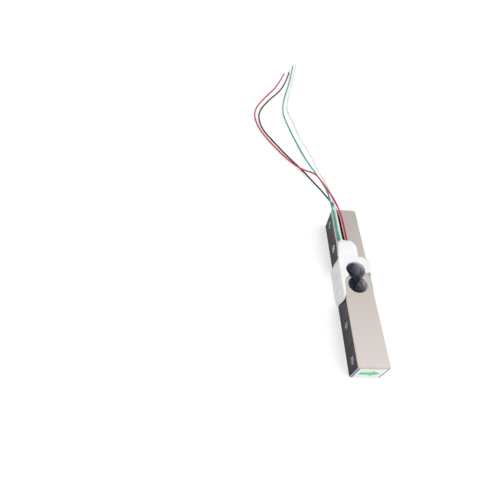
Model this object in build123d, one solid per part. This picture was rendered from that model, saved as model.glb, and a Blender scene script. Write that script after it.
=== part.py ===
from build123d import *
import math
import os

# Bar-type weighing load cell, millimetres.
# The bar rests on its bottom face. +X is the load direction, +Y runs along the bar
# from the load end to the wire end, +Z is the axis of the binocular opening.
# The origin is the centre of the bottom face.

# Bar
bar_length = 80.0
bar_width = 12.7
bar_height = 12.7
bar_edge_chamfer = 0.4
load_end_corner_radius = 0.5
wire_end_corner_radius = 1.6

# Binocular opening: two round bores that run into each other
opening_bore = 8.3
opening_spacing = 7.0
opening_rim_chamfer = 0.3

# Threaded cross holes: M4 at the load end, M5 at the wire end, given as core bores
load_hole_bore = 3.3
fixed_hole_bore = 4.2
hole_pitch = 15.0
hole_end_distance = 5.0
hole_mouth_chamfer = 0.5

# Foil strain gauges: two on each side face, over the thin walls of the opening
backing_length = 4.6
backing_height = 5.4
backing_rise = 0.8
backing_thickness = 0.12
foil_thickness = 0.05
grid_lines = 7
grid_line_length = 2.6
grid_line_width = 0.22
grid_pitch = 0.42
grid_lead_gap = 0.13
tab_length = 1.3
tab_height = 1.1
tab_spacing = 2.2
tab_rise = 2.4

# Solder beads on the gauge tabs
bead_length = 0.9
bead_height = 0.8
bead_thickness = 0.3
bead_round = 0.12

# Enamelled wires from the gauges to the terminal board
jumper_diameter = 0.2
jumper_bend = 0.25
jumpers_per_side = 3
jumper_first_run = 1.3
jumper_run_step = 0.7
jumper_top_clearance = 0.22
jumper_left_step = 0.6
jumper_right_edge = 2.1
jumper_right_step = 0.5
jumper_rim_clearance = 0.5
jumper_lane_step = 0.45
jumper_rim_turn = 0.4
jumper_rim_share = 0.6
jumper_ramp_start = 0.8
jumper_ramp_end = 0.3
jumper_joint_inset = 0.2

# Terminal board on the top face
board_width = 6.7
board_length = 5.6
board_thickness = 0.6
board_centre_x = -2.6
board_near_y = 11.2
pad_thickness = 0.05
jumper_pad_width = 0.75
jumper_pad_length = 1.1
jumper_pad_pitch = 1.1
pad_edge_margin = 0.2
lead_pad_width = 0.9
lead_pad_length = 1.9
jumper_solder_length = 0.6
jumper_solder_height = 0.35
lead_solder_length = 1.3
lead_solder_width = 0.85
lead_solder_height = 0.95
lead_solder_round = 0.3

# White silicone coating: a pad on each side face, a cap round the far bore and a mound
coat_side_thickness = 1.0
coat_near_y = -9.3
coat_far_y = 10.4
coat_bottom_gap = 0.3
coat_pad_round = 0.7
coat_cap_thickness = 0.95
coat_cap_round = 0.3
coat_corner_round = 1.0
coat_rim_gap = 0.15
coat_left_lap = 0.75
coat_right_lap = 0.35
coat_waist_lap = 1.45
coat_board_lap = 1.0

# Corners of the cap's outline: along the bar in shares of the far bore's place,
# and at the waist across the bar in a share of the rim
cap_strip_start = -0.7
cap_waist_start = -0.2
cap_waist_end = 0.2
cap_waist_inner = 0.75
cap_rim_right = 0.6
cap_right_start = 0.1
cap_right_edge = -0.4
cap_right_end = 2.1
cap_band_end = 2.9

# Mound over the terminal board
mound_thickness = 2.7
mound_left_margin = 0.9
mound_right_margin = 1.4
mound_near_margin = 2.0
mound_far_margin = 2.2
mound_near_corner = 2.0
mound_far_corner = 3.0
mound_round = 1.0

# Label on the load end
label_width = 10.6
label_height = 11.4
label_thickness = 0.1
label_corner_radius = 0.4

# Lead wires: insulated, with bare tinned ends
lead_diameter = 0.9
tip_diameter = 0.45
tip_length = 5.0
bend_share = 0.45
lead_floor_gap = 0.02
lead_rest = lead_diameter / 2 + lead_floor_gap

# Routes of the four leads, from their solder joints to their bare ends,
# for a top face at this height
route_top = 12.7
lead_routes = {
    "green": [(-5.4, 17.0, 14.0), (-6.1, 24.4, 14.7), (-6.7, 31.8, 17.0), (-7.8, 39.8, 18.2),
              (-6.4, 52.4, 12.8), (-7.7, 72.6, 5.0), (-12.0, 90.5, 0.9), (-16.7, 107.4, lead_rest),
              (-21.6, 127.0, lead_rest), (-24.6, 142.7, lead_rest), (-21.3, 162.5, lead_rest),
              (-16.0, 183.8, lead_rest), (-12.6, 205.2, lead_rest)],
    "white": [(-4.2, 17.0, 14.0), (-4.9, 24.3, 14.9), (-5.6, 31.3, 17.0), (-6.1, 40.0, 18.2),
              (-5.9, 54.2, 13.6), (-7.5, 74.0, 7.0), (-10.0, 95.8, 2.6), (-14.5, 114.2, 0.5),
              (-17.6, 131.0, lead_rest), (-21.3, 144.8, lead_rest), (-18.1, 164.2, lead_rest),
              (-13.1, 186.3, lead_rest), (-9.7, 207.2, lead_rest)],
    "black": [(-3.0, 17.0, 14.0), (-3.6, 24.6, 14.8), (-4.3, 31.0, 16.4), (-5.6, 37.8, 17.0),
              (-6.9, 46.4, 13.4), (-7.5, 59.2, 6.6), (-10.8, 72.3, 1.8), (-15.6, 82.9, 0.5),
              (-23.5, 94.4, lead_rest), (-32.0, 108.6, lead_rest), (-39.9, 122.9, lead_rest),
              (-41.5, 140.1, lead_rest), (-33.2, 155.9, lead_rest), (-24.5, 168.3, lead_rest),
              (-18.9, 183.5, lead_rest), (-16.2, 195.8, lead_rest)],
    "red": [(-1.8, 17.0, 14.0), (-2.3, 24.8, 15.4), (-3.8, 31.4, 18.2), (-5.8, 38.0, 19.8),
            (-7.3, 46.0, 18.2), (-8.0, 59.3, 12.2), (-9.3, 73.2, 6.4), (-15.6, 79.8, 2.8),
            (-22.5, 89.4, 0.8), (-31.3, 102.9, lead_rest), (-41.4, 121.2, lead_rest), (-45.0, 140.4, lead_rest),
            (-36.8, 157.9, lead_rest), (-26.8, 173.5, lead_rest), (-20.3, 193.0, lead_rest)],
}

# Values that follow from the ones above
side_face = bar_width / 2
load_end = -bar_length / 2
mid_height = bar_height / 2
opening_y = opening_spacing / 2
rim_radius = opening_bore / 2 + opening_rim_chamfer
foil_top = backing_thickness + foil_thickness
bead_axis = foil_top + bead_thickness / 2
tab_z = mid_height + tab_rise
bead_top_z = tab_z + bead_height / 2
top_lane_z = bar_height + jumper_top_clearance + jumper_diameter / 2
board_top_z = bar_height + board_thickness
pad_top_z = board_top_z + pad_thickness
jumper_joint_z = pad_top_z + jumper_solder_height / 2
jumper_pads_y = board_near_y + pad_edge_margin
lead_pads_far_y = board_near_y + board_length - pad_edge_margin
SIDES = {"left": -1, "right": 1}
ENDS = {"near": -1, "far": 1}


def block(x_range, y_range, z_range):
    """A box between two corners."""
    size = [high - low for low, high in (x_range, y_range, z_range)]
    centre = [(high + low) / 2 for low, high in (x_range, y_range, z_range)]
    return Pos(*centre) * Box(*size)


def chamfered_bore(bore, depth, mouth):
    """A through bore about Z, centred, with a chamfer at both mouths."""
    tool = Cylinder(bore / 2, depth)
    for end in (-1, 1):
        cone = Cone(bore / 2, bore / 2 + mouth, mouth)
        turn = Rot(0 if end > 0 else 180, 0, 0)
        tool += Pos(0, 0, end * (depth - mouth) / 2) * turn * cone
    return tool


# The machined bar
def cross_holes():
    tools = []
    for end, bore in ((-1, load_hole_bore), (1, fixed_hole_bore)):
        for step in (0, 1):
            y = end * (bar_length / 2 - hole_end_distance - step * hole_pitch)
            tool = Rot(0, 90, 0) * chamfered_bore(bore, bar_width, hole_mouth_chamfer)
            tools.append(Pos(0, y, mid_height) * tool)
    return tools


def binocular_opening():
    tools = []
    for end in ENDS.values():
        bore = chamfered_bore(opening_bore, bar_height, opening_rim_chamfer)
        tools.append(Pos(0, end * opening_y, mid_height) * bore)
    return tools


def make_beam():
    outline = Rectangle(bar_width, bar_length)
    far_corners = outline.vertices().group_by(Axis.Y)[-1]
    outline = fillet(far_corners, wire_end_corner_radius)
    near_corners = outline.vertices().group_by(Axis.Y)[0]
    outline = fillet(near_corners, load_end_corner_radius)
    bar = extrude(outline, bar_height)
    rims = bar.faces().group_by(Axis.Z)[0].edges() + bar.faces().group_by(Axis.Z)[-1].edges()
    bar = chamfer(rims, bar_edge_chamfer)
    for tool in cross_holes() + binocular_opening():
        bar -= tool
    return bar


# Strain gauges
def gauge_plane(side, end):
    """Lies on a side face at the middle of a thin wall: local x along the bar, local y up."""
    return Plane(origin=(side * side_face, end * opening_y, mid_height),
                 x_dir=(0, side, 0), z_dir=(side, 0, 0))


def make_backing(plane):
    film = Pos(0, backing_rise) * Rectangle(backing_length, backing_height)
    return plane * extrude(film, backing_thickness)


def make_grid(plane):
    """One etched foil: lines joined end to end, with a strip up to each of its two tabs."""
    top_line_y = (grid_lines - 1) / 2 * grid_pitch
    line_end = grid_line_length / 2
    tab_low_y = tab_rise - tab_height / 2
    tab_x = tab_spacing / 2
    foil = Sketch()
    for line in range(grid_lines):
        y = top_line_y - line * grid_pitch
        foil += Pos(0, y) * Rectangle(grid_line_length, grid_line_width)
        if line < grid_lines - 1:
            turn_x = (line_end - grid_line_width / 2) * (1 if line % 2 == 0 else -1)
            loop = Rectangle(grid_line_width, grid_pitch + grid_line_width)
            foil += Pos(turn_x, y - grid_pitch / 2) * loop
    strip_x = -line_end + grid_line_width / 2
    strip_height = tab_low_y - top_line_y + grid_line_width
    foil += Pos(strip_x, (tab_low_y + top_line_y) / 2) * Rectangle(grid_line_width, strip_height)
    riser_x = line_end + grid_lead_gap + grid_line_width / 2
    riser_height = tab_low_y + top_line_y + grid_line_width
    foil += Pos(riser_x, (tab_low_y - top_line_y) / 2) * Rectangle(grid_line_width, riser_height)
    foot_length = riser_x - line_end + grid_line_width
    foot_x = (line_end + riser_x) / 2
    foil += Pos(foot_x, -top_line_y) * Rectangle(foot_length, grid_line_width)
    for tab in (-1, 1):
        foil += Pos(tab * tab_x, tab_rise) * Rectangle(tab_length, tab_height)
    return plane * Pos(0, 0, backing_thickness) * extrude(foil, foil_thickness)


def bead_places():
    """Places along the bar of the four tabs of a side, in order."""
    return [end * opening_y + tab * tab_spacing / 2 for end in (-1, 1) for tab in (-1, 1)]


def make_gauge_solder(side):
    beads = []
    for y in bead_places():
        bead = Box(bead_thickness, bead_length, bead_height)
        outer = bead.faces().sort_by(Axis.X)[-1 if side > 0 else 0]
        bead = fillet(outer.edges().filter_by(Axis.Z), bead_round)
        beads.append(Pos(side * (side_face + bead_axis), y, tab_z) * bead)
    return Compound(beads)


def make_gauge_link(side):
    """Short wire between the inner tabs of the two gauges of a side."""
    places = bead_places()
    start, end = places[1] + bead_length / 2, places[2] - bead_length / 2
    wire = Rot(90, 0, 0) * Cylinder(jumper_diameter / 2, end - start)
    return Pos(side * (side_face + bead_axis), (start + end) / 2, tab_z) * wire


# Enamelled wires over the edge of the bar
def pad_x(side, wire):
    """Place across the bar of a wire's pad: left wires take the left half of the row."""
    slot = jumpers_per_side - 1 - wire if side < 0 else jumpers_per_side + wire
    row_centre = (2 * jumpers_per_side - 1) / 2
    return board_centre_x + (slot - row_centre) * jumper_pad_pitch


def jumper_points(side, wire):
    places = bead_places()
    start_y = (places[0], places[2], places[3])[wire]
    wall_x = side * (side_face + bead_axis)
    run_z = bead_top_z + jumper_first_run + (jumpers_per_side - 1 - wire) * jumper_run_step
    end_x = pad_x(side, wire)
    rim_y = opening_y + rim_radius
    points = [(wall_x, start_y, bead_top_z), (wall_x, start_y, run_z)]
    if side < 0:
        edge_y = rim_y + wire * jumper_left_step
        points += [(wall_x, edge_y, run_z), (wall_x, edge_y, top_lane_z),
                   (end_x, edge_y, top_lane_z)]
    else:
        edge_y = opening_y + jumper_right_edge + wire * jumper_right_step
        lane_y = rim_y + jumper_rim_clearance + wire * jumper_lane_step
        points += [(wall_x, edge_y, run_z), (wall_x, edge_y, top_lane_z),
                   (rim_radius + jumper_rim_turn, edge_y, top_lane_z),
                   (rim_radius * jumper_rim_share, lane_y, top_lane_z),
                   (end_x, lane_y, top_lane_z)]
    points += [(end_x, board_near_y - jumper_ramp_start, top_lane_z),
               (end_x, board_near_y - jumper_ramp_end, jumper_joint_z),
               (end_x, jumper_pads_y + jumper_joint_inset, jumper_joint_z)]
    return points


def tube(points, radii, diameter):
    """A round wire along straight runs joined by tangent arcs."""
    path = FilletPolyline(*points, radius=radii)
    start = Vector(*points[0])
    section = Plane(origin=start, z_dir=Vector(*points[1]) - start) * Circle(diameter / 2)
    return sweep(section, path=path), path


def make_jumper(side, wire):
    points = jumper_points(side, wire)
    return tube(points, [jumper_bend] * (len(points) - 2), jumper_diameter)[0]


# Terminal board, its pads and solder
def make_board():
    half = board_width / 2
    return block((board_centre_x - half, board_centre_x + half),
                 (board_near_y, board_near_y + board_length),
                 (bar_height, board_top_z))


def all_jumpers():
    return [(side, wire) for side in SIDES.values() for wire in range(jumpers_per_side)]


def make_pads():
    pads = []
    for side, wire in all_jumpers():
        x = pad_x(side, wire)
        pads.append(block((x - jumper_pad_width / 2, x + jumper_pad_width / 2),
                          (jumper_pads_y, jumper_pads_y + jumper_pad_length),
                          (board_top_z, pad_top_z)))
    for colour in lead_routes:
        x = lead_points(colour)[0][0]
        pads.append(block((x - lead_pad_width / 2, x + lead_pad_width / 2),
                          (lead_pads_far_y - lead_pad_length, lead_pads_far_y),
                          (board_top_z, pad_top_z)))
    return Compound(pads)


def make_jumper_solder():
    beads = []
    near = jumper_pads_y + jumper_joint_inset
    for side, wire in all_jumpers():
        x = pad_x(side, wire)
        half = jumper_solder_length / 2
        bead = block((x - half, x + half), (near, near + jumper_solder_length),
                     (pad_top_z, pad_top_z + jumper_solder_height))
        top = bead.faces().sort_by(Axis.Z)[-1]
        beads.append(fillet(top.edges().filter_by(Axis.Y), bead_round))
    return Compound(beads)


def make_lead_solder(colour):
    """A bead on the lead's pad that the lead's end face meets."""
    x, y, z = lead_points(colour)[0]
    half = lead_solder_width / 2
    bead = block((x - half, x + half), (y - lead_solder_length, y),
                 (pad_top_z, pad_top_z + lead_solder_height))
    top = bead.faces().sort_by(Axis.Z)[-1]
    return fillet(top.edges().filter_by(Axis.Y), lead_solder_round)


# Lead wires
def lead_points(colour):
    """The lead's route, which rises and falls with the top face and stays on the floor."""
    lift = bar_height - route_top
    return [(x, y, z + lift * min(1.0, (z - lead_rest) / (route_top - lead_rest)))
            for x, y, z in lead_routes[colour]]


def bend_radii(points):
    """Each arc is as large as the shorter of its two runs allows."""
    radii = []
    for before, corner, after in zip(points, points[1:], points[2:]):
        run_in = Vector(*corner) - Vector(*before)
        run_out = Vector(*after) - Vector(*corner)
        turn = math.radians(run_in.get_angle(run_out))
        radii.append(bend_share * min(run_in.length, run_out.length) / math.tan(turn / 2))
    return radii


def make_lead(colour):
    points = lead_points(colour)
    radii = bend_radii(points)
    solid, path = tube(points, radii, lead_diameter)
    expected = math.pi * (lead_diameter / 2) ** 2 * path.length
    print(f"lead_{colour}: {path.length:.1f} mm long, radii", [round(r) for r in radii],
          f"volume {solid.volume:.2f} for {expected:.2f}")
    return solid


def make_tip(colour):
    before, end = (Vector(*point) for point in lead_points(colour)[-2:])
    direction = (end - before).normalized()
    plane = Plane(origin=end, z_dir=direction)
    return plane * extrude(Circle(tip_diameter / 2), tip_length)


# Silicone coating
def coat_pad_outline():
    """Both side pads and what lies between them, seen from above."""
    length = coat_far_y - coat_near_y
    outline = Rectangle(bar_width + 2 * coat_side_thickness, length)
    outline = fillet(outline.vertices(), coat_pad_round)
    return Pos(0, (coat_far_y + coat_near_y) / 2) * outline


def coat_cap_outline():
    """Top face: a strip along each edge and the band round the far bore."""
    outer = side_face + coat_side_thickness
    beyond = coat_near_y - coat_corner_round
    left_strip = -side_face + coat_left_lap
    waist = -side_face + coat_waist_lap
    right_strip = side_face - coat_right_lap
    under_mound = board_near_y + coat_board_lap
    left = [(-side_face, beyond), (left_strip, cap_strip_start * opening_y),
            (waist, cap_waist_start * opening_y)]
    rim = [(-cap_waist_inner * rim_radius, cap_waist_end * opening_y), (0, opening_y)]
    right = [(rim_radius, cap_rim_right * opening_y), (right_strip, cap_right_start * opening_y),
             (outer, cap_right_edge * opening_y), (outer, cap_right_end * opening_y),
             (rim_radius, cap_band_end * opening_y)]
    far = [(0, under_mound), (-outer, under_mound)]
    outline = make_face(Polyline((-outer, beyond), *left, *rim, *right, *far, close=True).edges())
    rounded = [Vector(*corner) for corner in left[1:] + right
               if abs(corner[0]) < side_face]
    free = [corner for corner in outline.vertices()
            if any((Vector(corner.X, corner.Y) - place).length < coat_rim_gap for place in rounded)]
    outline = fillet(free, coat_corner_round) & coat_pad_outline()
    return outline - Pos(0, opening_y) * Circle(rim_radius + coat_rim_gap)


def coat_mound():
    """The mound over the terminal board, which the leads come out of."""
    left = board_centre_x - board_width / 2 - mound_left_margin
    right = board_centre_x + board_width / 2 + mound_right_margin
    near = board_near_y - mound_near_margin
    far = board_near_y + board_length + mound_far_margin
    outline = Pos((left + right) / 2, (near + far) / 2) * Rectangle(right - left, far - near)
    outline = fillet(outline.vertices().group_by(Axis.Y)[-1], mound_far_corner)
    outline = fillet(outline.vertices().group_by(Axis.Y)[0], mound_near_corner)
    mound = Pos(0, 0, bar_height) * extrude(outline, mound_thickness)
    return fillet(mound.faces().sort_by(Axis.Z)[-1].edges(), mound_round)


def make_coating(covered):
    """Fills the space round every covered piece."""
    pads = Pos(0, 0, coat_bottom_gap) * extrude(coat_pad_outline(), bar_height - coat_bottom_gap)
    pads -= block((-side_face, side_face), (coat_near_y, coat_far_y), (0, bar_height))
    cap = Pos(0, 0, bar_height) * extrude(coat_cap_outline(), coat_cap_thickness)
    coat = pads + cap
    coat = fillet(coat.faces().sort_by(Axis.Z)[-1].edges(), coat_cap_round)
    rim = extrude(Circle(rim_radius + coat_rim_gap), mound_thickness)
    coat += coat_mound() - Pos(0, opening_y, bar_height) * rim
    for piece in covered:
        coat -= piece
    return coat


def make_label():
    face = RectangleRounded(label_width, label_height, label_corner_radius)
    plane = Plane(origin=(0, load_end, mid_height), x_dir=(1, 0, 0), z_dir=(0, -1, 0))
    return plane * extrude(face, label_thickness)


def build_pieces():
    """Every piece by name. The coating comes last, because it fills what they leave."""
    pieces = {"beam": make_beam()}
    for side_name, side in SIDES.items():
        for end_name, end in ENDS.items():
            plane = gauge_plane(side, end)
            pieces[f"gauge_backing_{side_name}_{end_name}"] = make_backing(plane)
            pieces[f"gauge_grid_{side_name}_{end_name}"] = make_grid(plane)
        pieces[f"gauge_solder_{side_name}"] = make_gauge_solder(side)
        pieces[f"gauge_link_{side_name}"] = make_gauge_link(side)
        for wire in range(jumpers_per_side):
            pieces[f"jumper_{side_name}_{wire + 1}"] = make_jumper(side, wire)
    pieces["terminal_board"] = make_board()
    pieces["terminal_pads"] = make_pads()
    pieces["jumper_solder"] = make_jumper_solder()
    for colour in lead_routes:
        pieces[f"solder_joint_{colour}"] = make_lead_solder(colour)
        pieces[f"lead_{colour}"] = make_lead(colour)
    pieces["silicone_coating"] = make_coating(list(pieces.values()))
    for colour in lead_routes:
        pieces[f"lead_tip_{colour}"] = make_tip(colour)
    pieces["end_label"] = make_label()
    return pieces


os.makedirs("parts", exist_ok=True)
for name, piece in build_pieces().items():
    export_step(piece, f"parts/{name}.step")
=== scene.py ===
# %% [markdown]
# This lesson dresses a weighing load cell: an aluminium bar that bends a little under a load.
# Strain gauges under a white silicone coat feel the bend, and four thin wires carry the reading away.
# The solids come from a CAD model, which stays still, and Blender adds finishes and the small forms.

# %% Load the frame
import math

import bmesh
import bpy
import numpy as np
from mathutils import Matrix, Vector, noise


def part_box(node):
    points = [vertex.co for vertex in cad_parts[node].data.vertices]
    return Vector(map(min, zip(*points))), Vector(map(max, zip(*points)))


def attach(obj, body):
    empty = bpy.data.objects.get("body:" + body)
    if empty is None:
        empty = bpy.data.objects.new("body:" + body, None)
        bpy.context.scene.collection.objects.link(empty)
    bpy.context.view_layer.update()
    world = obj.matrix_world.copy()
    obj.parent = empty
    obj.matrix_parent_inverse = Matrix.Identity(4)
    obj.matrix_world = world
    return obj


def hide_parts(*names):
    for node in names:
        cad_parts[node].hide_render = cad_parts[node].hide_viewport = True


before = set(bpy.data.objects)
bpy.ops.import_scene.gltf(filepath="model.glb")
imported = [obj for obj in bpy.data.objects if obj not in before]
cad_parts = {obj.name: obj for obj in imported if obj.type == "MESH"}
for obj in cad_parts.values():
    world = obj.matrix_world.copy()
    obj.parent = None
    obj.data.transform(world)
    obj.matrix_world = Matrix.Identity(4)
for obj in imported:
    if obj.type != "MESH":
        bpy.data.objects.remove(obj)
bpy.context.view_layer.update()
scene = bpy.context.scene
MM = 0.001
print("nodes in the frame:", len(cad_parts))

# %% [markdown]
# A picture is matched from the camera outwards, so the camera comes first.
# It stands close to the bar's label end, a little to its left, and looks down at it steeply.
# Three plain turns give its direction: a tilt up from straight down, a turn about the upright, a roll.

# %% Camera
camera_place = Vector((-54.09, -80.28, 143.30)) * MM
camera_turn = math.radians(-4.146)
camera_tilt = math.radians(90.0 - 54.441)
camera_roll = math.radians(5.265)
camera_data = bpy.data.cameras.new("view_camera")
camera_data.sensor_width = 36.0
camera_data.lens = 25.217
camera_data.clip_start = 0.004
camera_data.clip_end = 20.0
camera = bpy.data.objects.new("view_camera", camera_data)
scene.collection.objects.link(camera)
camera.matrix_world = (
    Matrix.Translation(camera_place)
    @ Matrix.Rotation(camera_turn, 4, "Z")
    @ Matrix.Rotation(camera_tilt, 4, "X")
    @ Matrix.Rotation(camera_roll, 4, "Z")
)
scene.camera = camera
print("camera height in mm:", round(camera_place.z / MM, 1))

# %% [markdown]
# The four wires are thin, limp and 200 mm long with their bare tips.
# A smooth spline through a few control points bends the way such a wire does under its own weight.
# Each wire leaves the silicone beside its neighbours, drops over the bar's end and lies on the floor.

# %% Wires
wire_diameter = 0.9 * MM
wire_steps = 14
wire_roundness = 4
tip_length = 4.98 * MM
tip_radius = 0.225 * MM
on_floor = 0.47
wire_routes = {
    "green": (
        (-5.4, 17.0, 14.0), (-6.1, 24.4, 14.7), (-6.7, 31.8, 17.0), (-7.8, 39.8, 18.2),
        (-6.4, 52.4, 12.8), (-7.7, 72.6, 5.0), (-12.0, 90.5, 0.9), (-16.7, 107.4, on_floor),
        (-21.6, 127.0, on_floor), (-24.6, 142.7, on_floor), (-21.3, 162.5, on_floor),
        (-16.0, 183.8, on_floor), (-12.6, 205.2, on_floor),
    ),
    "white": (
        (-4.2, 17.0, 14.0), (-4.9, 24.3, 14.9), (-5.6, 31.3, 17.0), (-6.1, 40.0, 18.2),
        (-5.9, 54.2, 13.6), (-7.5, 74.0, 7.0), (-10.0, 95.8, 2.6), (-14.5, 114.2, 0.5),
        (-17.6, 131.0, on_floor), (-21.3, 144.8, on_floor), (-18.1, 164.2, on_floor),
        (-13.1, 186.3, on_floor), (-9.7, 207.2, on_floor),
    ),
    "black": (
        (-3.0, 17.0, 14.0), (-3.6, 24.6, 14.8), (-4.3, 31.0, 16.4), (-5.6, 37.8, 17.0),
        (-6.9, 46.4, 13.4), (-7.5, 59.2, 6.6), (-10.8, 72.3, 1.8), (-15.6, 82.9, 0.5),
        (-23.5, 94.4, on_floor), (-32.0, 108.6, on_floor), (-39.9, 122.9, on_floor),
        (-41.5, 140.1, on_floor), (-33.2, 155.9, on_floor), (-24.5, 168.3, on_floor),
        (-18.9, 183.5, on_floor), (-16.2, 195.8, on_floor),
    ),
    "red": (
        (-1.8, 17.0, 14.0), (-2.3, 24.8, 15.4), (-3.8, 31.4, 18.2), (-5.8, 38.0, 19.8),
        (-7.3, 46.0, 18.2), (-8.0, 59.3, 12.2), (-9.3, 73.2, 6.4), (-15.6, 79.8, 2.8),
        (-22.5, 89.4, 0.8), (-31.3, 102.9, on_floor), (-41.4, 121.2, on_floor), (-45.0, 140.4, on_floor),
        (-36.8, 157.9, on_floor), (-26.8, 173.5, on_floor), (-20.3, 193.0, on_floor),
    ),
}
wire_exits = {
    "green": Vector((-5.55, 18.6, 14.15)) * MM,
    "white": Vector((-4.40, 19.0, 14.25)) * MM,
    "black": Vector((-3.17, 19.0, 14.20)) * MM,
    "red": Vector((-1.93, 19.0, 14.35)) * MM,
}


def wire_along(name, route):
    """A round wire whose centre line is one smooth spline with the route's control points."""
    curve = bpy.data.curves.new(name, "CURVE")
    curve.dimensions = "3D"
    spline = curve.splines.new("NURBS")
    spline.points.add(len(route) - 1)
    for control, place in zip(spline.points, route):
        control.co = (*(c * MM for c in place), 1.0)
    spline.order_u = 3
    spline.use_endpoint_u = True
    spline.resolution_u = wire_steps
    curve.bevel_depth = wire_diameter / 2
    curve.bevel_resolution = wire_roundness
    curve.use_fill_caps = True
    wire = bpy.data.objects.new(name, curve)
    scene.collection.objects.link(wire)
    return wire


wires = {colour: wire_along(f"wire_{colour}", route) for colour, route in wire_routes.items()}
print("wires laid:", ", ".join(wires))

# %% [markdown]
# Every finish below is a small tree of shader nodes, so a few helpers keep the trees short to read.
# Patterns read Object coordinates in metres, so a grain keeps its real size on every piece.

# %% Helpers for finishes
def add(tree, kind, values=None, **settings):
    """One new node: settings are its own options, values its inputs, as numbers or as sockets."""
    made = tree.nodes.new(kind)
    for name, value in settings.items():
        setattr(made, name, value)
    for name, value in (values or {}).items():
        if isinstance(value, bpy.types.NodeSocket):
            tree.links.new(value, made.inputs[name])
        else:
            made.inputs[name].default_value = value
    return made


def maths(tree, operation, first, second=0.0):
    """The result of one sum on two values."""
    return add(tree, "ShaderNodeMath", {0: first, 1: second}, operation=operation).outputs[0]


def spread(tree, value, low, high, to_low=0.0, to_high=1.0):
    """A value stretched from one range to another, and held at its ends."""
    ranges = {0: value, 1: low, 2: high, 3: to_low, 4: to_high}
    return add(tree, "ShaderNodeMapRange", ranges).outputs[0]


def tint(tree, share, first, second):
    """A colour that goes from the first to the second as the share goes from 0 to 1."""
    colours = {0: share, 6: first, 7: second}
    return add(tree, "ShaderNodeMix", colours, data_type="RGBA").outputs[2]


def grain(tree, place, stretch, detail=3.0, distortion=0.0, turn=None):
    """Noise on the object's own place, with so many grains to the metre along each axis."""
    if turn:
        place = add(tree, "ShaderNodeMapping", {"Vector": place, "Rotation": turn}).outputs[0]
    mapped = add(tree, "ShaderNodeMapping", {"Vector": place, "Scale": stretch})
    values = {"Vector": mapped.outputs[0], "Scale": 1.0, "Detail": detail, "Distortion": distortion}
    return add(tree, "ShaderNodeTexNoise", values).outputs["Fac"]


def relief(tree, shader, height, depth, strength=1.0):
    """Fine bump on the shader, with its depth in metres."""
    values = {"Strength": strength, "Distance": depth, "Height": height}
    bump = add(tree, "ShaderNodeBump", values)
    tree.links.new(bump.outputs["Normal"], shader.inputs["Normal"])


def finish(name, roughness, metallic=0.0):
    """A new material, with its tree, its shader and its place on the object."""
    made = bpy.data.materials.new(name)
    made.use_nodes = True
    tree = made.node_tree
    shader = tree.nodes["Principled BSDF"]
    shader.inputs["Roughness"].default_value = roughness
    shader.inputs["Metallic"].default_value = metallic
    return made, tree, shader, add(tree, "ShaderNodeTexCoord")


def even(number):
    """The same number of grains to the metre along all three axes."""
    return (number, number, number)


def patchy_finish(name, shine, patches, reach, tones, bumps, bump_depth):
    """A material that drifts between two tones in soft patches, with fine bumps on its skin.

    shine is its roughness and metallic share. patches and bumps are grains, as a stretch and a
    detail. reach is the part of the patches' range where one tone turns into the other.
    """
    made, tree, shader, place = finish(name, *shine)
    pattern = spread(tree, grain(tree, place.outputs["Object"], *patches), *reach)
    tree.links.new(tint(tree, pattern, *tones), shader.inputs["Base Color"])
    relief(tree, shader, grain(tree, place.outputs["Object"], *bumps), *bump_depth)
    return made


def dress(node_name, material):
    """Gives a CAD node its finish, in the slots of its own object."""
    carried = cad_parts[node_name]
    for slot in carried.material_slots:
        slot.material = material
    if not carried.material_slots:
        carried.data.materials.append(material)


print("helpers ready")

# %% [markdown]
# The bar is drawn aluminium. Its upper and lower faces are matte, with a fine grain along the bar.
# The milled faces with the bolt holes are smoother, with close lines across the bar; their near-black
# colour is a painted dark reflection.
# The walls of the opening and of the holes are machined too, with painted shade where little light gets
# in and painted highlights where it does.

# %% Bar colours and places
bar_matte = (0.560, 0.515, 0.475, 1.0)
bar_warm = (0.640, 0.585, 0.555, 1.0)
bar_grey = (0.470, 0.440, 0.405, 1.0)
# The milled sides are painted near black, a painted dark reflection; the lighter tone is for the milling
# lines and a painted sheen.
bar_side_painted_dark = (0.024, 0.025, 0.029, 1.0)
bar_side_lines_and_sheen = (0.070, 0.070, 0.075, 1.0)
# Painted shade on the milled sides low down, near the floor.
bar_low_painted_shade = (0.014, 0.016, 0.025, 1.0)
bar_milled_glance = (0.550, 0.550, 0.560, 1.0)
# A painted navy reflection on the milled sides at the load end's tip.
bar_painted_navy = (0.009, 0.012, 0.050, 1.0)
# The load end's face is painted bluish, a painted reflection; the far end's face is plain grey.
bar_end_painted_blue = (0.185, 0.205, 0.300, 1.0)
bar_far_end = (0.250, 0.250, 0.255, 1.0)
# A painted highlight along the bar's long chamfered edges.
bar_edge_highlight = (0.560, 0.530, 0.460, 1.0)
# The opening's walls are painted navy as shade, with painted highlights along the machining streaks.
opening_painted_shade = (0.070, 0.084, 0.165, 1.0)
opening_painted_highlight = (0.980, 0.985, 1.000, 1.0)
# Painted shade deep in the bolt holes, and painted glints near their mouths.
bore_painted_shade = (0.020, 0.020, 0.024, 1.0)
bore_painted_light = (0.550, 0.550, 0.560, 1.0)
# The holes' mouths are painted light below the hole's axis and painted shade above it.
mouth_painted_shade = (0.012, 0.012, 0.016, 1.0)
mouth_painted_light = (0.090, 0.090, 0.095, 1.0)
white = (1.000, 1.000, 1.000, 1.0)
bar_width = 12.7 * MM
hole_height = 6.35 * MM
hole_zone = (15.0 * MM, 38.5 * MM)
hole_reach = 2.9 * MM
opening_zone = (4.45 * MM, 10.0 * MM)
edge_zone = 5.5 * MM
bore_shade = (3.8 * MM, 5.0 * MM)
print("bar width in mm:", round(bar_width / MM, 1))

# %% [markdown]
# Each kind of surface on the bar gets a function of its own, which gives back its colour.
# The two that have a grain of their own give that back too, for the bump at the end.

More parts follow.
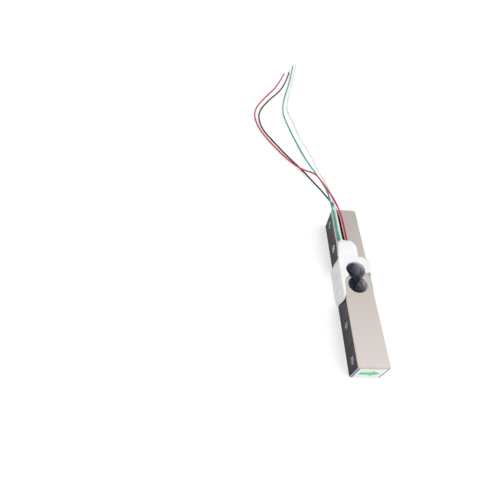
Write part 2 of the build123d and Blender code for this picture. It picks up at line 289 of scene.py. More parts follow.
# %% Surfaces of the bar
def matte_faces(tree, place, spot):
    """Warm grey, greyer towards the wires, and its grain along the bar."""
    load_half = (-40.0 * MM, -5.0 * MM)
    wire_half = (5.0 * MM, 36.0 * MM)
    along = grain(tree, place, (2600.0, 70.0, 2600.0), 4.0)
    cloudy = grain(tree, place, (60.0, 25.0, 60.0), 2.0)
    matte = tint(tree, spread(tree, spot["Y"], *load_half), bar_warm, bar_matte)
    matte = tint(tree, spread(tree, spot["Y"], *wire_half), matte, bar_grey)
    matte = tint(tree, spread(tree, along, 0.30, 0.75, 0.0, 0.22), matte, bar_grey)
    matte = tint(tree, spread(tree, cloudy, 0.35, 0.70, 0.0, 0.25), matte, bar_warm)
    return matte, along


def milled_faces(tree, place, spot, away_y):
    """Near-black painted dark reflection, with painted shade low down, a painted sheen beside the coat
    and a painted navy reflection at the load end's tip, and its lines across the bar.
    """
    sheen_beside_coat = (18.5 * MM, 11.5 * MM)
    shade_low_down = (8.5 * MM, 0.5 * MM)
    load_tip = (-35.0 * MM, -39.5 * MM)
    across = grain(tree, place, (900.0, 5200.0, 60.0), 3.0)
    passes = grain(tree, place, (60.0, 420.0, 45.0), 2.0)
    lines = maths(tree, "MULTIPLY", maths(tree, "ADD", across, passes), 0.5)
    # A painted sheen lightens the milled sides next to the coat.
    lines = maths(tree, "ADD", lines, spread(tree, away_y, *sheen_beside_coat, 0.0, 0.07))
    milled = tint(tree, spread(tree, lines, 0.38, 0.66), bar_side_painted_dark, bar_side_lines_and_sheen)
    # Painted shade: the milled sides get darker low down.
    milled = tint(tree, spread(tree, spot["Z"], *shade_low_down, 0.0, 0.7), milled, bar_low_painted_shade)
    # Painted navy reflection towards the load end's tip.
    milled = tint(tree, spread(tree, spot["Y"], *load_tip, 0.0, 0.8), milled, bar_painted_navy)
    return milled, across


def opening_walls(tree, place, spot):
    """Painted navy shade, with slanting machining streaks painted light as highlights, strongest high up
    on the right-hand wall.
    """
    slant = (math.radians(40.0), 0.0, 0.0)
    lit_side = (0.0, 3.6 * MM)
    lit_height = (1.0 * MM, 7.0 * MM)
    swirl = grain(tree, place, (300.0, 2400.0, 260.0), 3.0, 0.2, slant)
    lit_right_wall = spread(tree, spot["X"], *lit_side, 0.05, 1.0)
    lit_high_up = spread(tree, spot["Z"], *lit_height, 0.35, 1.0)
    streaks = maths(tree, "MULTIPLY", spread(tree, swirl, 0.42, 0.53), lit_right_wall)
    return tint(tree, maths(tree, "MULTIPLY", streaks, lit_high_up), opening_painted_shade, opening_painted_highlight)


def hole_walls(tree, place, away_x):
    """Painted glints near the hole's mouth, where light gets in, and painted shade, near black, further
    in.
    """
    glint = grain(tree, place, (150.0, 420.0, 420.0), 1.0)
    lit = tint(tree, spread(tree, glint, 0.40, 0.55), bore_painted_light, white)
    return tint(tree, spread(tree, away_x, *bore_shade), bore_painted_shade, lit)


print("surfaces ready")

# %% [markdown]
# One material holds all these surfaces. Where a point lies and the way that its face looks tell which
# surface it is on, as shares from 0 to 1. So the CAD solid stays whole, and needs no painted maps.

# %% Places on the bar
def both(tree, first, second):
    """The part that two shares have in common."""
    return maths(tree, "MULTIPLY", first, second)


def bar_shares(tree, spot, facing, away_x, away_y):
    """The share of each kind of surface at a point of the bar."""
    face_x = maths(tree, "ABSOLUTE", facing["X"])
    face_y = maths(tree, "ABSOLUTE", facing["Y"])
    face_z = maths(tree, "ABSOLUTE", facing["Z"])
    off_axis = maths(tree, "ABSOLUTE", maths(tree, "SUBTRACT", spot["Z"], hole_height))
    past_holes = maths(tree, "GREATER_THAN", away_y, hole_zone[1])
    slanted = spread(tree, both(tree, face_x, face_z), 0.20, 0.40)
    in_middle = both(
        tree, maths(tree, "LESS_THAN", away_x, opening_zone[0]),
        maths(tree, "LESS_THAN", away_y, opening_zone[1]),
    )
    by_holes = both(
        tree, maths(tree, "GREATER_THAN", away_y, hole_zone[0]),
        maths(tree, "LESS_THAN", away_y, hole_zone[1]),
    )
    by_holes = both(tree, by_holes, maths(tree, "LESS_THAN", off_axis, hole_reach))
    return {
        "side": spread(tree, face_x, 0.80, 0.92),
        "edge": both(tree, slanted, maths(tree, "GREATER_THAN", off_axis, edge_zone)),
        "end": both(tree, spread(tree, face_y, 0.80, 0.92), past_holes),
        "opening": both(tree, in_middle, spread(tree, face_z, 0.35, 0.15)),
        "mouth": both(tree, by_holes, spread(tree, face_x, 0.90, 0.80)),
        "bore": both(tree, by_holes, spread(tree, face_x, 0.60, 0.30)),
    }


print("places ready")

# %% [markdown]
# The colours are laid over each other, from the plain faces to the bores. The milled faces are
# smoother than the matte ones, and the dark hollows are less of a mirror than the open faces.

# %% Bar finish
def make_bar_finish():
    """Aluminium with matte long faces, milled sides painted dark as a dark reflection, and machined
    bores with painted shade and glints; the long edges carry a painted highlight.
    """
    middle = (-1.0 * MM, 1.0 * MM)
    mouth_light_to_shade = (5.4 * MM, 6.4 * MM)
    metal, tree, shader, place = finish("bar_aluminium_finish", 0.42, 0.80)
    spot = add(tree, "ShaderNodeSeparateXYZ", {0: place.outputs["Object"]}).outputs
    facing = add(tree, "ShaderNodeSeparateXYZ", {0: place.outputs["Normal"]}).outputs
    away_x = maths(tree, "ABSOLUTE", spot["X"])
    away_y = maths(tree, "ABSOLUTE", spot["Y"])
    share = bar_shares(tree, spot, facing, away_x, away_y)
    matte, along = matte_faces(tree, place.outputs["Object"], spot)
    milled, across = milled_faces(tree, place.outputs["Object"], spot, away_y)
    paints = {
        # The long chamfered edges carry a painted highlight.
        "edge": bar_edge_highlight,
        "end": tint(tree, spread(tree, spot["Y"], *middle), bar_end_painted_blue, bar_far_end),
        "opening": opening_walls(tree, place.outputs["Object"], spot),
        # Painted light on the lower half of each mouth, painted shade on its upper half.
        "mouth": tint(tree, spread(tree, spot["Z"], *mouth_light_to_shade), mouth_painted_light, mouth_painted_shade),
        "bore": hole_walls(tree, place.outputs["Object"], away_x),
    }
    colour = tint(tree, share["side"], matte, milled)
    for surface, paint in paints.items():
        colour = tint(tree, share[surface], colour, paint)
    glance = tint(tree, share["side"], white, bar_milled_glance)
    hollow = maths(tree, "MAXIMUM", share["bore"], share["opening"])
    height = add(tree, "ShaderNodeMix", {0: share["side"], 2: along, 3: across}).outputs[0]
    tree.links.new(colour, shader.inputs["Base Color"])
    tree.links.new(glance, shader.inputs["Specular Tint"])
    tree.links.new(spread(tree, share["side"], 0.0, 1.0, 0.56, 0.34), shader.inputs["Roughness"])
    tree.links.new(spread(tree, hollow, 0.0, 1.0, 0.80, 0.10), shader.inputs["Metallic"])
    relief(tree, shader, height, 0.03 * MM, 0.5)
    return metal


bar_finish = make_bar_finish()
dress("beam", bar_finish)
print("finish made:", bar_finish.name)

# %% [markdown]
# The four bolt holes are tapped. A thread is one ridge that climbs round the wall, the same at each
# turn, so Geometry Nodes makes it: a spiral for the path and a small diamond for the ridge's section.
# The tree's inputs are the bore, pitch, depth and ridge, so one tree serves both sizes of hole.

# %% Thread tree
def float_input(tree, name):
    """A named number input on a Geometry Nodes tree, and its identifier."""
    socket = tree.interface.new_socket(name, in_out="INPUT", socket_type="NodeSocketFloat")
    return socket.identifier


def nodes_tree(name, input_names):
    """An empty Geometry Nodes tree with number inputs, its group input, and its identifiers."""
    tree = bpy.data.node_groups.new(name, "GeometryNodeTree")
    names = {wanted: float_input(tree, wanted) for wanted in input_names}
    tree.interface.new_socket("Geometry", in_out="OUTPUT", socket_type="NodeSocketGeometry")
    return tree, tree.nodes.new("NodeGroupInput").outputs, names


def close_tree(tree, shape, material):
    """Ends a tree: instances made real, a material set, and smooth shading."""
    real = add(tree, "GeometryNodeRealizeInstances", {0: shape})
    smooth = add(tree, "GeometryNodeSetShadeSmooth", {0: real.outputs[0]})
    painted = add(tree, "GeometryNodeSetMaterial", {"Geometry": smooth.outputs[0]})
    painted.inputs["Material"].default_value = material
    add(tree, "NodeGroupOutput", {0: painted.outputs[0]})


def grown(name, tree, identifiers, sizes):
    """The plain mesh that a tree grows from its sizes."""
    seed = bpy.data.objects.new(name, bpy.data.meshes.new(f"{name}_seed"))
    scene.collection.objects.link(seed)
    modifier = seed.modifiers.new("grow", "NODES")
    modifier.node_group = tree
    for wanted, size in sizes.items():
        modifier[identifiers[wanted]] = size
    result = seed.evaluated_get(bpy.context.evaluated_depsgraph_get())
    mesh = bpy.data.meshes.new_from_object(result)
    bpy.data.objects.remove(seed)
    return mesh


steps_per_turn = 36
ridge_corners = 4
# The thread is painted bright in patches near the mouth as painted glints, and painted shade deeper in.
thread_glint_tones = ((0.45, 0.45, 0.46, 1.0), (1.00, 1.00, 1.00, 1.0))
thread_painted_shade = (0.030, 0.030, 0.034, 1.0)
thread_tree, thread_in, thread_names = nodes_tree(
    "thread_ridge", ("Bore radius", "Pitch", "Depth of hole", "Ridge")
)
turns = maths(thread_tree, "DIVIDE", thread_in["Depth of hole"], thread_in["Pitch"])
ridge_path = add(
    thread_tree, "GeometryNodeCurveSpiral",
    {
        "Resolution": steps_per_turn, "Rotations": turns,
        "Start Radius": thread_in["Bore radius"], "End Radius": thread_in["Bore radius"],
        "Height": thread_in["Depth of hole"],
    },
)
upright_path = add(
    thread_tree, "GeometryNodeSetCurveNormal", {0: ridge_path.outputs[0]}, mode="Z_UP"
)
ridge_section = add(
    thread_tree, "GeometryNodeCurvePrimitiveCircle",
    {"Resolution": ridge_corners, "Radius": thread_in["Ridge"]}, mode="RADIUS",
)
ridge = add(
    thread_tree, "GeometryNodeCurveToMesh",
    {0: upright_path.outputs[0], "Profile Curve": ridge_section.outputs[0], "Fill Caps": True},
)
thread_metal, tree, shader, place = finish("thread_metal", 0.35, 0.15)
glint_grain = grain(tree, place.outputs["Object"], (700.0, 900.0, 900.0), 2.0)
painted_glints = tint(tree, spread(tree, glint_grain, 0.40, 0.60), *thread_glint_tones)
spot = add(tree, "ShaderNodeSeparateXYZ", {0: place.outputs["Object"]}).outputs
# Painted glints near the mouth fade into painted shade deeper in the hole.
lit_near_mouth = spread(tree, maths(tree, "ABSOLUTE", spot["X"]), *bore_shade)
tree.links.new(tint(tree, lit_near_mouth, thread_painted_shade, painted_glints), shader.inputs["Base Color"])
relief(tree, shader, glint_grain, 0.02 * MM)
close_tree(thread_tree, ridge.outputs[0], thread_metal)
print("thread inputs:", ", ".join(thread_names))

# %% [markdown]
# The tree's ridge climbs along Z. In the bar it is laid on its side at each hole, between the two
# countersunk mouths. The two holes of an end have the same size, so they share one mesh.

# %% Threads in the holes
mouth_depth = 0.55 * MM
thread_depth = bar_width - 2 * mouth_depth
tapped_holes = (
    ("load_end_threads", 1.65 * MM, 0.7 * MM, 0.14 * MM, (-35.0 * MM, -20.0 * MM)),
    ("fixed_end_threads", 2.10 * MM, 0.8 * MM, 0.16 * MM, (20.0 * MM, 35.0 * MM)),
)
for name, bore_radius, pitch, ridge_size, places in tapped_holes:
    thread_sizes = {
        "Bore radius": bore_radius, "Pitch": pitch, "Depth of hole": thread_depth,
        "Ridge": ridge_size,
    }
    one = grown(name, thread_tree, thread_names, thread_sizes)
    shape = bmesh.new()
    for along_bar in places:
        start = Vector((-thread_depth / 2, along_bar, hole_height))
        turned = one.copy()
        turned.transform(Matrix.Translation(start) @ Matrix.Rotation(math.pi / 2, 4, "Y"))
        shape.from_mesh(turned)
    mesh = bpy.data.meshes.new(name)
    shape.to_mesh(mesh)
    shape.free()
    mesh.materials.append(thread_metal)
    threads = bpy.data.objects.new(name, mesh)
    scene.collection.objects.link(threads)
    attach(threads, "root")
    print(name, "faces:", len(mesh.polygons))

# %% [markdown]
# The white coat is silicone, poured on by hand, so it has no crisp edge: it sags, swells over what it
# covers and creeps a little way along each wire. It lets a little light in under its skin.
# On the sides the coat is thin and faces away from the light, so it is painted greyer there: partly the
# bar showing through it, partly painted shade.

# %% Silicone finish
silicone_top = ((0.86, 0.86, 0.865, 1.0), (0.93, 0.93, 0.93, 1.0))
# The side-facing coat is painted greyer: partly thin coat over metal, partly painted shade.
silicone_side_thin_and_shaded = ((0.60, 0.605, 0.615, 1.0), (0.74, 0.74, 0.745, 1.0))
silicone, tree, shader, place = finish("silicone_finish", 0.48)
shader.inputs["Subsurface Weight"].default_value = 0.10
shader.inputs["Subsurface Radius"].default_value = (1.2 * MM, 1.1 * MM, 1.0 * MM)
shader.inputs["Subsurface Scale"].default_value = 1.0
cloud = grain(tree, place.outputs["Object"], (260.0, 260.0, 160.0), 3.0)
streak = grain(tree, place.outputs["Object"], (300.0, 520.0, 90.0), 2.0)
fine = grain(tree, place.outputs["Object"], even(1800.0), 2.0)
facing = add(tree, "ShaderNodeSeparateXYZ", {0: place.outputs["Normal"]}).outputs
on_side = spread(tree, maths(tree, "ABSOLUTE", facing["X"]), 0.45, 0.85)
top_white = tint(tree, spread(tree, cloud, 0.35, 0.65), *silicone_top)
side_thin_and_shaded_white = tint(tree, spread(tree, streak, 0.35, 0.65), *silicone_side_thin_and_shaded)
tree.links.new(tint(tree, on_side, top_white, side_thin_and_shaded_white), shader.inputs["Base Color"])
skin = maths(tree, "ADD", cloud, maths(tree, "MULTIPLY", fine, 0.12))
relief(tree, shader, skin, 0.22 * MM, 0.6)
print("finish made:", silicone.name)

# %% [markdown]
# The coat's mesh starts from the CAD solid, with a small cone round each wire where silicone creeps
# along it. A voxel remesh cuts it anew into small even cells, which can be moved without creases.

# %% Cells of the coat
voxel = 0.24 * MM
same_point = 0.001 * MM
soften_share = 0.5
soften_passes = 5
collar_base = 0.95 * MM
collar_tip = 0.55 * MM
collar_depth = 1.8 * MM
collar_corners = 16


def poured_mesh(source):
    """The CAD solid and a small collar round each wire, as one skin of small even cells."""
    shape = bmesh.new()
    shape.from_mesh(source.data)
    bmesh.ops.remove_doubles(shape, verts=shape.verts, dist=same_point)
    for exit_place, route in zip(wire_exits.values(), wire_routes.values()):
        heading = (Vector(route[1]) - Vector(route[0])).normalized()
        turn = heading.to_track_quat("Z", "Y").to_matrix().to_4x4()
        bmesh.ops.create_cone(
            shape, cap_ends=True, segments=collar_corners,
            matrix=Matrix.Translation(exit_place) @ turn,
            radius1=collar_base, radius2=collar_tip, depth=collar_depth,
        )
    mesh = bpy.data.meshes.new("silicone_start")
    shape.to_mesh(mesh)
    shape.free()
    body = bpy.data.objects.new("silicone_start", mesh)
    scene.collection.objects.link(body)
    remesh = body.modifiers.new("cells", "REMESH")
    remesh.mode = "VOXEL"
    remesh.voxel_size = voxel
    smooth = body.modifiers.new("soften", "SMOOTH")
    smooth.factor = soften_share
    smooth.iterations = soften_passes
    result = body.evaluated_get(bpy.context.evaluated_depsgraph_get())
    made = bpy.data.meshes.new_from_object(result)
    bpy.data.objects.remove(body)
    return made


coat_mesh = poured_mesh(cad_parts["silicone_coating"])
print("coat cells:", len(coat_mesh.polygons))

# %% [markdown]
# Where the silicone came to rest is told in mm, as smooth shifts of the points. Each one works on a
# part of the coat that a smooth step picks out, so the skin never tears between two of them.

# %% Run of the silicone
near_edge = ((0.3, 1.3), (2.4, 0.6), (6.0, -0.6), (9.0, -1.2), (11.7, -1.25), (13.6, -0.4))
far_edge = ((0.3, -0.9), (2.3, -0.4), (4.3, -0.1), (7.4, -0.1), (10.8, -0.6), (12.7, -0.8))
opening_place = 3.5
rim_pull = 0.45
mound_foot = 0.45
mound_base = 13.55


def ease(value, low, high):
    """A smooth step from 0 at low to 1 at high."""
    share = np.clip((value - low) / (high - low), 0.0, 1.0)
    return share * share * (3.0 - 2.0 * share)


def edge_shift(z, edge):
    """The shift of an edge along the bar at each height, from its pairs of height and shift."""
    return np.interp(z, *zip(*edge))


def run_sides(x, y, z):
    """Shifts, in place, the near and far edges of the thin coat on the bar's side faces."""
    outside = ease(np.abs(x), 6.1, 6.8)
    y += outside * (1.0 - ease(y, -9.3, -4.0)) * edge_shift(z, near_edge)
    y += outside * ease(y, 7.0, 10.4) * edge_shift(z, far_edge)


def run_band(x, y, z):
    """Shifts, in place, the band: in towards the opening's rim, and down the right-hand wall."""
    on_top = ease(z, 12.1, 12.7)
    y += on_top * ease(x, 4.8, 6.0) * 1.8 * (1.0 - ease(y, 1.5, 8.0))
    along = y - opening_place
    reach = np.hypot(x, along)
    drawn_in = on_top * rim_pull * (1.0 - ease(reach, 4.9, 6.4)) * ease(y, -0.5, 1.0) / reach
    x -= x * drawn_in
    y -= along * drawn_in
    right_wall = ease(x, 6.2, 6.6)
    x -= right_wall * 0.40 * ease(z, 10.2, 12.7) * (1.0 - ease(y, 2.4, 5.4))
    z -= right_wall * 2.4 * ease(z, 7.5, 12.7) * (1.0 - ease(y, -7.2, -5.0))


def run_mound(x, y, z):
    """Shifts, in place, the mound: a wider foot, rounder far corners and a ramp on its near side."""
    foot = ease(x, 1.0, 2.1) * (1.0 - ease(z, 12.9, 14.4))
    foot = foot * ease(y, 10.0, 12.0) * (1.0 - ease(y, 16.0, 19.0))
    x += mound_foot * foot
    corners = 1.3 * ease(-x, 3.6, 6.9) + 1.5 * ease(x, -0.8, 1.8)
    y -= corners * ease(y, 13.5, 18.6)
    ramp = 0.05 + 0.95 * ease(y, 8.6, 14.5)
    ramp *= 1.0 - 0.30 * ease(y, 16.5, 19.2)
    ramp *= 1.0 - 0.30 * ease(x, -0.4, 2.2)
    z -= np.maximum(z - mound_base, 0.0) * (1.0 - ramp)


def run_down(points):
    """The coat's points, in mm, moved to where poured silicone comes to rest."""
    x, y, z = points.T.copy()
    for run in (run_sides, run_band, run_mound):
        run(x, y, z)
    return np.stack((x, y, z), axis=1)


print("places along the edges:", len(near_edge) + len(far_edge))

# %% [markdown]
# Two sizes of soft lump then push every point out or in along its own normal, and longer ones swell
# the side faces. A clamp keeps the coat within the width and height of its solid.

# %% Silicone coat
lumps = ((260.0, 0.20 * MM, Vector((0.0, 0.0, 0.0))), (700.0, 0.08 * MM, Vector((7.0, 3.0, 5.0))))
side_lumps = (Vector((200.0, 620.0, 120.0)), 0.12 * MM)
coat_low, coat_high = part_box("silicone_coating")
flat = np.zeros(len(coat_mesh.vertices) * 3)
coat_mesh.vertices.foreach_get("co", flat)
settled = run_down(flat.reshape(-1, 3) / MM) * MM
coat_mesh.vertices.foreach_set("co", settled.ravel())
coat_mesh.update()
for vertex in coat_mesh.vertices:
    at, out = vertex.co, vertex.normal
    push = sum(noise.noise(at * often + apart) * depth for often, depth, apart in lumps)
    push += noise.noise(at * side_lumps[0]) * side_lumps[1] * out.x * out.x
    moved = at + out * push
    moved.x = min(max(moved.x, coat_low.x), coat_high.x)
    moved.z = min(max(moved.z, coat_low.z), coat_high.z)
    vertex.co = moved
for polygon in coat_mesh.polygons:
    polygon.use_smooth = True
coat_mesh.materials.clear()
coat_mesh.materials.append(silicone)
coat = bpy.data.objects.new("silicone_coat", coat_mesh)
scene.collection.objects.link(coat)
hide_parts("silicone_coating")
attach(coat, "root")
print("coat points moved:", len(coat_mesh.vertices))

# %% [markdown]
# The paper label sits on the bar's end and carries a green arrow, which shows the way of the load.
# The arrow is its own thin print on thinner paper, so nothing stands out past the CAD label.

# %% Label and arrow
label_low, label_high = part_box("end_label")
paper_depth = 0.08 * MM
corner_radius = 0.4 * MM
corner_steps = 5
paper_tones = ((0.93, 0.93, 0.93, 1.0), (0.84, 0.84, 0.85, 1.0))
ink_tones = ((0.070, 0.560, 0.180, 1.0), (0.130, 0.680, 0.260, 1.0))


def flat_plate(name, outline, front, back, material):
    """A thin plate with this outline in X and Z, between two places along the bar."""
    shape = bmesh.new()
    rim = [shape.verts.new((x, front, z)) for x, z in outline]
    face = shape.faces.new(rim)
    pushed = bmesh.ops.extrude_face_region(shape, geom=[face])["geom"]
    corners = [item for item in pushed if isinstance(item, bmesh.types.BMVert)]
    bmesh.ops.translate(shape, verts=corners, vec=(0.0, back - front, 0.0))
    bmesh.ops.recalc_face_normals(shape, faces=shape.faces)
    mesh = bpy.data.meshes.new(name)
    shape.to_mesh(mesh)
    shape.free()
    mesh.materials.append(material)
    plate = bpy.data.objects.new(name, mesh)
    scene.collection.objects.link(plate)
    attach(plate, "root")
    return plate


def rounded_outline(low_x, high_x, low_z, high_z, radius, steps):
    """The corner points of a rectangle with round corners."""
    points = []
    corners = (
        (high_x - radius, high_z - radius, 0.0), (low_x + radius, high_z - radius, 90.0),
        (low_x + radius, low_z + radius, 180.0), (high_x - radius, low_z + radius, 270.0),
    )
    for x, z, start in corners:
        for step in range(steps + 1):
            angle = math.radians(start + 90.0 * step / steps)
            points.append((x + radius * math.cos(angle), z + radius * math.sin(angle)))
    return points


paper = patchy_finish(
    "label_paper_finish", (0.62, 0.0), (even(160.0), 2.0), (0.40, 0.75), paper_tones,
    (even(2400.0), 4.0), (0.02 * MM, 0.4),
)
ink_dots = (even(3000.0), 2.0)
ink = patchy_finish(
    "arrow_ink", (0.50, 0.0), ink_dots, (0.35, 0.70), ink_tones, ink_dots, (0.01 * MM, 0.3)
)
paper_front = label_high.y - paper_depth
label = flat_plate(
    "label_sheet",
    rounded_outline(label_low.x, label_high.x, label_low.z, label_high.z, corner_radius, corner_steps),
    paper_front, label_high.y, paper,
)
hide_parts("end_label")
arrow_length = 8.4 * MM
arrow_head = 3.8 * MM
arrow_height = 6.4 * MM
arrow_tail = 3.2 * MM
middle_x = (label_low.x + label_high.x) / 2
middle_z = (label_low.z + label_high.z) / 2
tail_x = middle_x - arrow_length / 2
neck_x = middle_x + arrow_length / 2 - arrow_head
arrow_outline = [
    (tail_x, middle_z - arrow_tail / 2), (neck_x, middle_z - arrow_tail / 2),
    (neck_x, middle_z - arrow_height / 2), (middle_x + arrow_length / 2, middle_z),
    (neck_x, middle_z + arrow_height / 2), (neck_x, middle_z + arrow_tail / 2),
    (tail_x, middle_z + arrow_tail / 2),
]
flat_plate("label_arrow", arrow_outline, label_low.y, paper_front, ink)
print("label in mm:", [round((b - a) / MM, 2) for a, b in zip(label_low, label_high)])

# %% [markdown]
# Each wire's end is stripped for 5 mm, which shows seven fine tinned strands, twisted together.
# One strand on its helix, turned six times about the middle one, is a job for Geometry Nodes.

# %% Strand tree
tin_tones = ((0.72, 0.71, 0.69, 1.0), (0.50, 0.48, 0.46, 1.0))
outer_count = 6
helix_steps = 20
strand_corners = 8
tin_grain = (even(1500.0), 3.0)
tin = patchy_finish(
    "tinned_strand_finish", (0.32, 0.90), tin_grain, (0.35, 0.70), tin_tones,
    tin_grain, (0.02 * MM, 1.0),
)
strand_tree, strand_in, strand_names = nodes_tree("strands", ("Strand radius", "Length", "Twists"))
lay_radius = maths(strand_tree, "MULTIPLY", strand_in["Strand radius"], 2.0)
helix = add(
    strand_tree, "GeometryNodeCurveSpiral",
    {
        "Resolution": helix_steps, "Rotations": strand_in["Twists"], "Start Radius": lay_radius,
        "End Radius": lay_radius, "Height": strand_in["Length"],
    },
)
strand_section = add(
    strand_tree, "GeometryNodeCurvePrimitiveCircle",
    {"Resolution": strand_corners, "Radius": strand_in["Strand radius"]}, mode="RADIUS",
)
outer_strand = add(
    strand_tree, "GeometryNodeCurveToMesh",
    {0: helix.outputs[0], "Profile Curve": strand_section.outputs[0], "Fill Caps": True},
)
middle_points = add(strand_tree, "GeometryNodePoints", {"Count": outer_count})
number = add(strand_tree, "GeometryNodeInputIndex")
angle = maths(strand_tree, "MULTIPLY", number.outputs[0], 2 * math.pi / outer_count)
turn = add(strand_tree, "ShaderNodeCombineXYZ", {"Z": angle})
ring_of_strands = add(
    strand_tree, "GeometryNodeInstanceOnPoints",
    {
        "Points": middle_points.outputs[0], "Instance": outer_strand.outputs[0],
        "Rotation": turn.outputs[0],
    },
)
straight_end = add(strand_tree, "ShaderNodeCombineXYZ", {"Z": strand_in["Length"]})
straight = add(strand_tree, "GeometryNodeCurvePrimitiveLine", {"End": straight_end.outputs[0]})
middle_strand = add(
    strand_tree, "GeometryNodeCurveToMesh",
    {0: straight.outputs[0], "Profile Curve": strand_section.outputs[0], "Fill Caps": True},
)
bundle = add(strand_tree, "GeometryNodeJoinGeometry")
strand_tree.links.new(ring_of_strands.outputs[0], bundle.inputs[0])
strand_tree.links.new(middle_strand.outputs[0], bundle.inputs[0])
close_tree(strand_tree, bundle.outputs[0], tin)
print("strand inputs:", ", ".join(strand_names))

# %% [markdown]
# The tree grows one bundle along Z. Each wire gets its own, turned to the way that the wire ends.

# %% Bare tips
strand_sizes = {"Strand radius": tip_radius / 3, "Length": tip_length, "Twists": 0.9}
for colour, route in wire_routes.items():
    end, before = Vector(route[-1]) * MM, Vector(route[-2]) * MM
    heading = (end - before).normalized()
    mesh = grown(f"tip_{colour}", strand_tree, strand_names, strand_sizes)
    mesh.transform(Matrix.Translation(end) @ heading.to_track_quat("Z", "Y").to_matrix().to_4x4())
    tip = bpy.data.objects.new(f"tip_{colour}", mesh)
    scene.collection.objects.link(tip)
    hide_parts(f"lead_tip_{colour}")
    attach(tip, "root")

# %% [markdown]
# The insulation is soft plastic with a low shine. It is never one flat colour: it is a little paler
# where the wire was handled, and its skin has the faint waves of the die that it was drawn through.

# %% Wire finishes
insulation_colours = {
    "red": ((0.460, 0.007, 0.033, 1.0), (0.620, 0.034, 0.070, 1.0), 0.25),
    "black": ((0.002, 0.002, 0.003, 1.0), (0.006, 0.006, 0.008, 1.0), 0.06),
    "green": ((0.008, 0.270, 0.200, 1.0), (0.060, 0.480, 0.370, 1.0), 0.25),
    "white": ((0.800, 0.780, 0.830, 1.0), (0.900, 0.880, 0.920, 1.0), 0.25),
}
for colour, (deep, pale, shine) in insulation_colours.items():
    plastic = patchy_finish(
        f"{colour}_insulation_finish", (0.34, 0.0), ((140.0, 90.0, 140.0), 3.0), (0.35, 0.68),
        (deep, pale), (even(1400.0), 2.0), (0.03 * MM, 0.5),
    )
    plastic.node_tree.nodes["Principled BSDF"].inputs["Specular IOR Level"].default_value = shine
    wire = wires[colour]
    wire.data.materials.append(plastic)
    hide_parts(f"lead_{colour}")
    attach(wire, "root")
print("wires finished:", len(insulation_colours))

# %% [markdown]
# Under the silicone are the gauges, their jumpers, the small board and its solder. They stay as CAD
# solids, and each gets the finish of its real stuff, so that the part is whole when the coat is off.

# %% Finishes under the coat
inner_finishes = {
    "gauge_film": (0.40, 0.0, (0.52, 0.27, 0.05, 1.0), (0.62, 0.36, 0.09, 1.0)),
    "gauge_foil": (0.28, 0.9, (0.60, 0.56, 0.50, 1.0), (0.46, 0.42, 0.38, 1.0)),
    "solder": (0.30, 0.9, (0.66, 0.66, 0.67, 1.0), (0.48, 0.48, 0.50, 1.0)),
    "enamelled_wire": (0.30, 0.6, (0.56, 0.20, 0.06, 1.0), (0.44, 0.13, 0.04, 1.0)),
    "circuit_board": (0.45, 0.0, (0.020, 0.190, 0.070, 1.0), (0.030, 0.250, 0.100, 1.0)),
    "copper_pad": (0.32, 0.9, (0.72, 0.36, 0.19, 1.0), (0.60, 0.27, 0.14, 1.0)),
}
inner_nodes = {
    "gauge_backing": "gauge_film", "gauge_grid": "gauge_foil", "gauge_solder": "solder",
    "gauge_link": "enamelled_wire", "jumper_solder": "solder", "jumper": "enamelled_wire",
    "terminal_board": "circuit_board", "terminal_pads": "copper_pad", "solder_joint": "solder",
}
made_finishes = {}
for name, (roughness, metallic, first, second) in inner_finishes.items():
    patches = (even(900.0), 3.0)
    made_finishes[name] = patchy_finish(
        f"{name}_finish", (roughness, metallic), patches, (0.35, 0.65), (first, second),
        patches, (0.02 * MM, 0.6),
    )


def stuff_of(node_name):
    """The stuff of the longest start of a name that fits this node, or None."""
    fitting = [start for start in inner_nodes if node_name.startswith(start)]
    return inner_nodes[max(fitting, key=len)] if fitting else None


inner_stuffs = {node_name: stuff_of(node_name) for node_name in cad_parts}
for node_name, stuff in inner_stuffs.items():
    if stuff:
        dress(node_name, made_finishes[stuff])
print("inner nodes dressed:", sum(1 for stuff in inner_stuffs.values() if stuff))

# %% [markdown]
# The set is a pale floor. It shows as white to the camera and in reflections, and still keeps the soft
# shadow. The strip under the bar is painted darker and bluer, a painted shadow seen through the bar's
# opening.

# %% Floor
floor_half = 3.0
floor_drop = -0.02 * MM
floor_glow = 0.26
floor_open = (0.93, 0.93, 0.93, 1.0)
# A painted shadow: the floor under the bar is dark and bluish, and gets no glow.
floor_painted_shade_under_bar = (0.10, 0.11, 0.19, 1.0)
bar_foot = (6.0 * MM, 39.0 * MM)


def seen_share(tree):
    """1 for rays straight from the camera, a mirror or a clear piece, and 0 for scattered ones."""
    ray = add(tree, "ShaderNodeLightPath").outputs
    shown = maths(tree, "MAXIMUM", ray["Is Camera Ray"], ray["Is Glossy Ray"])
    return maths(tree, "MAXIMUM", shown, ray["Is Transmission Ray"])


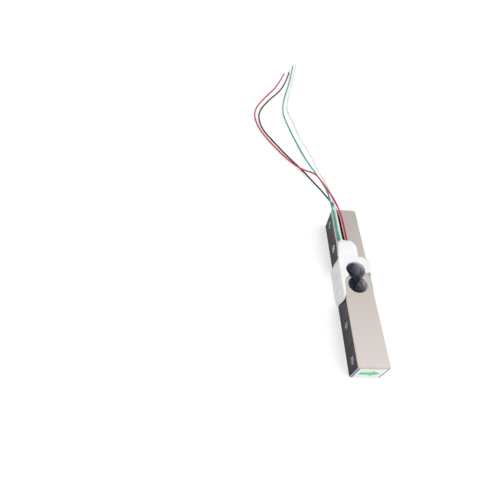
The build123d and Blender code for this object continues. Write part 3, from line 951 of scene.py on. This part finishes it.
floor_mesh = bpy.data.meshes.new("floor")
floor_mesh.from_pydata(
    [(x * floor_half, y * floor_half, floor_drop) for x, y in ((-1, -1), (1, -1), (1, 1), (-1, 1))],
    [], [(0, 1, 2, 3)],
)
floor = bpy.data.objects.new("floor", floor_mesh)
scene.collection.objects.link(floor)
floor_paint, tree, shader, place = finish("floor_paint", 0.9)
shader.inputs["Specular IOR Level"].default_value = 0.1
spot = add(tree, "ShaderNodeSeparateXYZ", {0: place.outputs["Object"]}).outputs
beside = maths(tree, "GREATER_THAN", maths(tree, "ABSOLUTE", spot["X"]), bar_foot[0])
beyond = maths(tree, "GREATER_THAN", maths(tree, "ABSOLUTE", spot["Y"]), bar_foot[1])
open_floor = maths(tree, "MAXIMUM", beside, beyond)
tree.links.new(tint(tree, open_floor, floor_painted_shade_under_bar, floor_open), shader.inputs["Base Color"])
glow = add(tree, "ShaderNodeEmission", {"Strength": maths(tree, "MULTIPLY", open_floor, floor_glow)})
bright_floor = add(tree, "ShaderNodeAddShader", {0: shader.outputs[0], 1: glow.outputs[0]})
mixed = add(
    tree, "ShaderNodeMixShader",
    {0: seen_share(tree), 1: shader.outputs[0], 2: bright_floor.outputs[0]},
)
tree.links.new(mixed.outputs[0], tree.nodes["Material Output"].inputs["Surface"])
floor_mesh.materials.append(floor_paint)
print("floor side in m:", 2 * floor_half)

# %% [markdown]
# The light is soft. One lamp stands to the right and behind, where it draws a thin light line along
# each wire, one stands above, and a low one at the left looks into the threaded holes.
# The sky fills the rest at a plain level, and a ray that is seen directly finds it fully white.

# %% Light
sky_fill = 0.75
world = bpy.data.worlds.new("studio_sky")
world.use_nodes = True
scene.world = world
tree = world.node_tree
backdrop = tree.nodes["Background"]
backdrop.inputs["Color"].default_value = white
sky_strength = spread(tree, seen_share(tree), 0.0, 1.0, sky_fill, 1.0)
tree.links.new(sky_strength, backdrop.inputs["Strength"])


def area_lamp(name, place, target, size, power):
    """A square soft lamp that points at the target."""
    data = bpy.data.lights.new(name, "AREA")
    data.shape = "SQUARE"
    data.size = size
    data.energy = power
    lamp = bpy.data.objects.new(name, data)
    lamp.location = place
    lamp.rotation_euler = (Vector(target) - Vector(place)).to_track_quat("-Z", "Y").to_euler()
    scene.collection.objects.link(lamp)


area_lamp("key_lamp", (0.45, 0.08, 0.25), (0.0, 0.03, 0.0), 0.10, 0.5)
area_lamp("top_lamp", (0.05, -0.22, 0.50), (0.0, 0.02, 0.0), 0.30, 0.6)
area_lamp("side_lamp", (-0.40, -0.04, 0.14), (0.0, 0.0, 0.0), 0.10, 0.15)
scene.view_settings.view_transform = "Standard"
